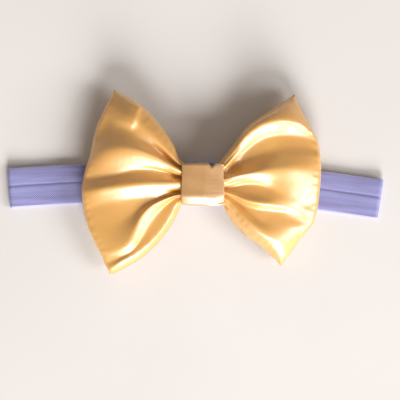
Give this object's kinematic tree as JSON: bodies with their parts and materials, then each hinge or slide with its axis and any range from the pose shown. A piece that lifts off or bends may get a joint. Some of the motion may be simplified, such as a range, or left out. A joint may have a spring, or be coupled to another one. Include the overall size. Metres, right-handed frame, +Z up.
{
  "type": "satin bow on elastic loop",
  "caption": "Puffed golden satin bow with a wrapped centre on a soft elastic loop that opens; the wings flex.",
  "frame": {"origin": "centre of the whole bow and its loop in plan, on the surface that the loop lies on", "axes": "+X along the loop laid flat, +Y across it towards the bow's upper corners, +Z up through the bow's front"},
  "size_m": [0.1522, 0.0752, 0.0203],
  "materials": {
    "satin": "satin",
    "elastic": "matte",
    "felt": "matte",
    "white_thread": "satin",
    "gold_thread": "satin",
    "wadding": "matte",
    "glue": "gloss"
  },
  "bodies": {
    "band_back": {"elastic_back_run": "elastic", "elastic_left_turn": "elastic", "elastic_right_turn": "elastic", "elastic_left_arm": "elastic", "elastic_right_arm": "elastic"},
    "bow_centre": {"elastic_left_lap": "elastic", "elastic_right_lap": "elastic", "lap_stitches": "white_thread", "felt_pad": "felt", "felt_glue": "glue", "bow_glue": "glue", "front_panel_waist": "satin", "back_panel_waist": "satin", "gathering_thread": "gold_thread", "centre_wrap": "satin", "wrap_closing_stitches": "gold_thread"},
    "left_wing": {"left_front_panel": "satin", "left_back_panel": "satin", "left_wadding": "wadding", "left_seam_stitches": "gold_thread"},
    "right_wing": {"right_front_panel": "satin", "right_back_panel": "satin", "right_wadding": "wadding", "right_seam_stitches": "gold_thread"}
  },
  "joints": [
    {"name": "loop_open", "type": "slide", "parent": "band_back", "child": "bow_centre", "axis": [0, 0, 1], "range_m": [0, 0.045], "deforming": ["elastic_left_arm", "elastic_right_arm"]},
    {"name": "left_wing_flex", "type": "hinge", "parent": "bow_centre", "child": "left_wing", "pos_m": [-0.0066, -0.0006, 0.0106], "axis": [0, 1, 0], "range_deg": [0, 30], "stiffness_Nm_per_rad": 0.002},
    {"name": "right_wing_flex", "type": "hinge", "parent": "bow_centre", "child": "right_wing", "pos_m": [0.0118, -0.0006, 0.0106], "axis": [0, -1, 0], "range_deg": [0, 30], "stiffness_Nm_per_rad": 0.002}
  ]
}
